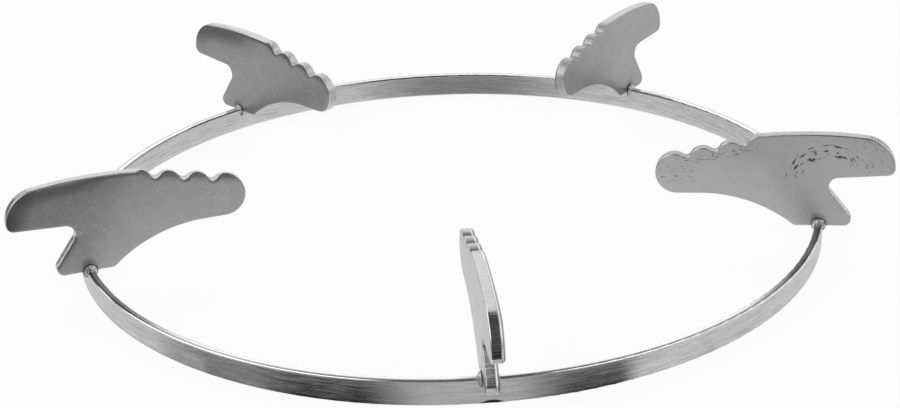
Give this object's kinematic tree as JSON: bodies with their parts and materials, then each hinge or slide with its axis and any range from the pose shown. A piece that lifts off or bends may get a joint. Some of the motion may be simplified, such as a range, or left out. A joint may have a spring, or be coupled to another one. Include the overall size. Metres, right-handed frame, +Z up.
{
  "type": "wok ring",
  "caption": "Round wok support ring for a gas hob: an upright flat-bar steel ring carrying radial plate prongs with a scalloped seat and an outer hooked nose.",
  "frame": {"origin": "on the ring's own axis, in the plane that the ring stands on", "axes": "+Z up along the ring's axis; -Y towards the viewer of the picture, about 4 degrees from the front prong; +X to the right"},
  "size_m": [0.274, 0.2625, 0.0383],
  "materials": {
    "ring_steel": "brushed along the bar",
    "prong_steel": "satin, tumbled, with bright cut edges",
    "weld_metal": "as welded and polished"
  },
  "bodies": {
    "root": {"ring": "ring_steel", "prong_front": "prong_steel", "prong_right": "prong_steel", "prong_back_right": "prong_steel", "prong_back_left": "prong_steel", "prong_left": "prong_steel", "weld_front": "weld_metal", "weld_right": "weld_metal", "weld_back_right": "weld_metal", "weld_back_left": "weld_metal", "weld_left": "weld_metal"}
  },
  "joints": []
}
